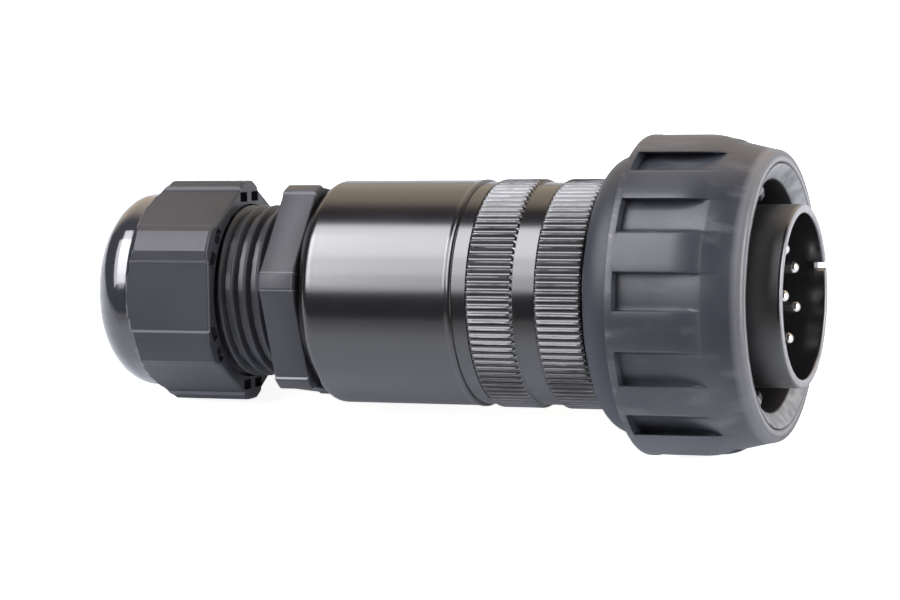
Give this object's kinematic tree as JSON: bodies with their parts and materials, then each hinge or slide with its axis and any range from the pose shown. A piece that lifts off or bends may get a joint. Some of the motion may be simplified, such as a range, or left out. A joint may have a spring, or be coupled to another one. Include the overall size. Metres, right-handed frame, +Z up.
{
  "type": "push pull circular connector",
  "caption": "Circular cable plug with pin contacts, a ribbed rubber coupling ring that pulls back to release, and a cable gland with a domed hexagon nut.",
  "frame": {"origin": "centre of the front rim of the metal shell, on the plug's axis", "axes": "+X along the axis, out of the mating face; +Z up, with the gap between two ribs of the grip straight down"},
  "size_m": [0.1166, 0.0504, 0.0504],
  "materials": {
    "grip_rubber": "moulded rubber, satin, softly ribbed",
    "sleeve_plastic": "black moulded plastic, satin",
    "spring_steel": "plain spring steel",
    "black_anodised": "hard black anodised, glossy",
    "insulator_plastic": "black moulded thermoplastic",
    "seal_rubber": "black elastomer",
    "silver_plate": "turned brass, silver plated",
    "gland_plastic": "black polyamide, satin with a glossy dome"
  },
  "bodies": {
    "plug_body": {"shell_body": "black_anodised", "front_insulator": "insulator_plastic", "face_seal": "seal_rubber", "insulator_o_ring": "seal_rubber", "rear_insulator": "insulator_plastic", "insulator_snap_ring": "spring_steel", "contact_pin_1": "silver_plate", "contact_pin_2": "silver_plate", "contact_pin_3": "silver_plate", "contact_pin_4": "silver_plate", "contact_pin_5": "silver_plate", "contact_pin_6": "silver_plate", "contact_pin_7": "silver_plate", "contact_pin_8": "silver_plate", "union_ring": "black_anodised", "union_o_ring": "seal_rubber", "backshell": "black_anodised", "flange_gasket": "seal_rubber", "gland_body": "gland_plastic", "sleeve_circlip": "spring_steel", "return_spring": "spring_steel"},
    "coupling_ring": {"grip_ring": "grip_rubber", "coupling_sleeve": "sleeve_plastic"},
    "cable_clamp": {"clamping_cage": "gland_plastic", "gland_seal": "seal_rubber"},
    "dome_nut": {"gland_nut": "gland_plastic"}
  },
  "joints": [
    {"name": "coupling_slide", "type": "slide", "parent": "plug_body", "child": "coupling_ring", "axis": [-1, 0, 0], "range_m": [0, 0.004], "stiffness_N_per_m": 3000, "springref_m": -0.002, "deforming": ["return_spring"]},
    {"name": "clamp_slide", "type": "slide", "parent": "plug_body", "child": "cable_clamp", "axis": [-1, 0, 0], "range_m": [0, 0.0046]},
    {"name": "nut_turn", "type": "hinge", "parent": "cable_clamp", "child": "dome_nut", "pos_m": [-0.1, 0, 0], "axis": [-1, 0, 0], "range_deg": [0, 720]}
  ],
  "couplings": [
    {"joint": "clamp_slide", "follows": "nut_turn", "m_per_rad": 0.0003581}
  ]
}
